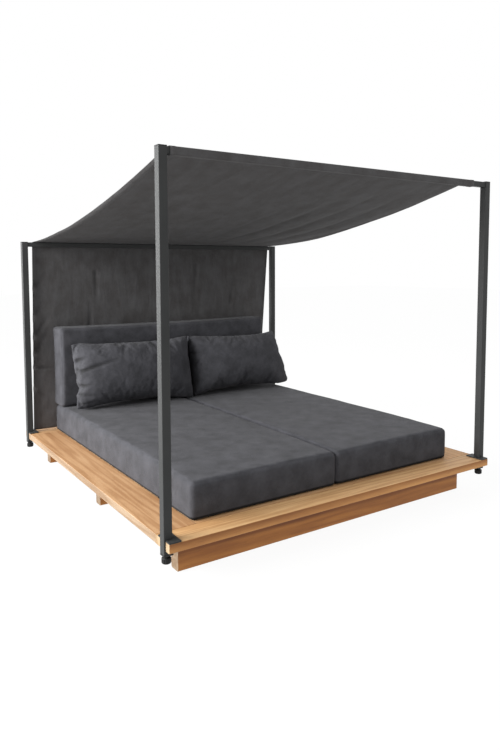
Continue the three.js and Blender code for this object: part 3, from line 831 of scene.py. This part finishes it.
def bedding(cover_cloth, mattress_cloth):
    left_pad = mattress("left", 12 * MM, 1.3)
    right_pad = mattress("right", 22 * MM, 7.9)
    cushion = back_cushion()
    slot = "cushion_cloth"
    finish_piece(left_pad, mattress_cloth, slot, "left_mattress", "mattress_left")
    finish_piece(right_pad, mattress_cloth, slot, "right_mattress", "mattress_right")
    finish_piece(cushion, cover_cloth, slot, "cushion_at_the_back", "back_cushion")
    left_creases = [
        ((-0.45, 0.11), (-0.35, 0.12), 16 * MM, 11 * MM),
        ((-0.42, 0.02), (-0.12, 0.09), 17 * MM, 14 * MM),
        ((-0.46, 0.05), (-0.33, 0.00), 16 * MM, 9 * MM),
        ((-0.45, -0.08), (-0.33, -0.07), 16 * MM, 15 * MM),
        ((-0.44, -0.13), (-0.28, -0.16), 16 * MM, 9 * MM),
        ((-0.44, -0.21), (-0.30, -0.19), 15 * MM, 10 * MM),
        ((-0.10, 0.24), (-0.02, 0.12), 16 * MM, 6 * MM),
    ]
    right_creases = [
        ((0.44, 0.20), (0.30, 0.12), 14 * MM, 7 * MM),
        ((0.20, 0.24), (0.14, 0.12), 16 * MM, 6 * MM),
        ((0.45, -0.16), (0.34, -0.12), 14 * MM, 8 * MM),
        ((-0.45, 0.10), (-0.32, 0.08), 13 * MM, 8 * MM),
    ]
    left_pulls = [
        (-1, 0.09, 24 * MM, 9 * MM),
        (-1, 0.01, 26 * MM, 12 * MM),
        (-1, -0.09, 28 * MM, 30 * MM),
    ]
    right_pulls = [(1, -0.11, 30 * MM, 14 * MM)]
    left = pillow("left", (0.93, 0.50), 0.061, 0.0, left_creases, left_pulls, True, 0.0)
    finish_piece(left, cover_cloth, slot, "left_pillow", "pillow_left")
    right = pillow(
        "right", (0.885, 0.493), 0.058, 50 * MM, right_creases, right_pulls, False, 32 * MM
    )
    finish_piece(right, cover_cloth, slot, "right_pillow", "pillow_right")


# Frame finishes


def paint_frame():
    """Paints the timber, the metal and the plastic. The front faces of the foot and head boards darken
    upwards between the heights in face, with painted shade, and those of the bearers, which stand back
    under them, between the two heights after it, with a painted shadow of the boards' overhang."""
    coat = powder_coat()
    nylon = moulded_plastic()
    warm = (1.12, 0.90, 0.54)
    deep = (0.77, 0.50, 0.18)
    plain = (1.0, 1.0, 1.0)
    edge = (0.62, 0.73, 0.90)
    bearer_end_shade = (0.40, 0.46, 0.55)
    low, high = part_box("end_board_front")
    # Heights between which the foot and head boards' front faces are darkened upwards with painted shade.
    face = (low.z + 8 * MM, high.z - 6 * MM)
    # Heights between which the bearers' front faces are darkened upwards: a painted shadow of the boards'
    # overhang.
    overhang_shadow_heights = (66 * MM, 84 * MM)
    # Each board's top tint is painted light: it lightens or darkens that board's top to match the light on
    # it, most of all the right board's, lifted where the light falls short.
    boards = {
        "end_board_front": teak("teak_foot_board", "X", 3.1, (1.18, 1.21, 1.14), warm, edge, face),
        "end_board_rear": teak("teak_head_board", "X", 8.4, plain, warm, edge, face),
        "side_board_left": teak("teak_left_board", "Y", 5.7, (0.90, 0.87, 0.85), warm, edge),
        "side_board_right": teak("teak_right_board", "Y", 11.2, (1.32, 1.24, 1.06), warm, edge),
    }
    slats = teak("teak_slats", "X", 14.9, plain, deep, edge)
    rails = teak("teak_rails", "Y", 17.3, plain, deep, edge)
    # The bearers' ends get a darker tint: end grain, darkened with painted shade under the platform.
    bearers = teak("teak_bearers", "X", 21.6, plain, deep, bearer_end_shade, overhang_shadow_heights)
    for name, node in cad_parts.items():
        if name in boards:
            material = boards[name]
        elif name.startswith("deck_slat"):
            material = slats
        elif name.startswith("deck_rail"):
            material = rails
        elif name.startswith("bearer"):
            material = bearers
        elif name.startswith(("post_cap", "post_plug", "clamp_knob", "bar_block")):
            material = nylon
        elif name.startswith(("post", "base_plate", "clamp_plate", "crossbar")):
            material = coat
        else:
            continue
        for spot in node.material_slots:
            spot.material = material


# Studio


def soft_box(name, place, aim, size, power):
    data = bpy.data.lights.new(name, "AREA")
    data.shape = "RECTANGLE"
    data.size, data.size_y = size
    data.energy = power
    light = bpy.data.objects.new(name, data)
    light.location = place
    light.rotation_mode = "QUATERNION"
    light.rotation_quaternion = (Vector(aim) - Vector(place)).to_track_quat("-Z", "Y")
    bpy.context.collection.objects.link(light)


def studio():
    world = bpy.data.worlds.new("studio")
    bpy.context.scene.world = world
    world.use_nodes = True
    background = world.node_tree.nodes["Background"]
    background.inputs["Color"].default_value = (1, 1, 1, 1)
    background.inputs["Strength"].default_value = 1.0
    deselect()
    bpy.ops.mesh.primitive_plane_add(size=FLOOR_SIZE, location=(0, 0, -FLOOR_DROP))
    floor = bpy.context.object
    floor.name = "studio_floor"
    pale = Paint("pale_floor").finish(
        Base_Color=(0.05, 0.05, 0.05, 1),
        Roughness=1.0,
        Specular_IOR_Level=0.0,
        Emission_Color=(1, 1, 1, 1),
        Emission_Strength=FLOOR_GLOW,
    )
    floor.data.materials.append(pale)
    soft_box("left_softbox", (-5.2, 0.4, 2.5), (0, 0, 0.5), (3.5, 2.6), 740)
    soft_box("rear_left_strip", (-4.0, 4.2, 1.6), (-1.0, 0, 0.9), (1.5, 2.6), 110)
    soft_box("overhead_right", (4.4, 1.0, 4.6), (0.6, 0, 0.3), (4.0, 3.0), 40)
    view = bpy.context.scene.view_settings
    view.view_transform = "Standard"
    view.look = "None"


def camera():
    data = bpy.data.cameras.new("photo_camera")
    data.lens = CAMERA_LENS
    data.sensor_width = SENSOR_WIDTH
    data.shift_x, data.shift_y = CAMERA_SHIFT
    data.clip_end = VIEW_END
    eye = bpy.data.objects.new("photo_camera", data)
    eye.location = CAMERA_PLACE
    eye.rotation_mode = "QUATERNION"
    heading = CAMERA_LOOK.to_track_quat("-Z", "Y").to_matrix()
    eye.rotation_quaternion = (heading @ Matrix.Rotation(CAMERA_ROLL, 3, "Z")).to_quaternion()
    bpy.context.collection.objects.link(eye)
    bpy.context.scene.camera = eye


deselect()
camera()
studio()
paint_frame()
sling_dark, sling_light = (0.040, 0.037, 0.036), (0.072, 0.071, 0.073)
cover_dark, cover_light = (0.023, 0.023, 0.026), (0.055, 0.055, 0.062)
cover_lumps = (13, 13, 13)
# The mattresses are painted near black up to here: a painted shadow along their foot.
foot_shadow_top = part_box("mattress_left")[0].z + FOOT_SHADOW_HEIGHT
curtain_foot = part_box("back_curtain")[0].z
# The curtain's painted light from below fades out between these heights.
bounce_line = (curtain_foot + BOUNCE_LOW, curtain_foot + BOUNCE_HIGH)
sling_fabric = woven(
    "sling_weave", sling_dark, sling_light, 1.1 * MM, sheet_plane, (16, 5, 1), bounce_heights=bounce_line
)
cover_fabric = woven("cover_weave", cover_dark, cover_light, 1.2 * MM, facing_plane, cover_lumps)
mattress_fabric = woven(
    "mattress_weave", cover_dark, cover_light, 1.2 * MM, facing_plane, cover_lumps, foot_shadow_top
)
finish_piece(canopy_and_curtain(), sling_fabric, "sling_cloth", "platform", "canopy_cloth", "back_curtain")
bedding(cover_fabric, mattress_fabric)
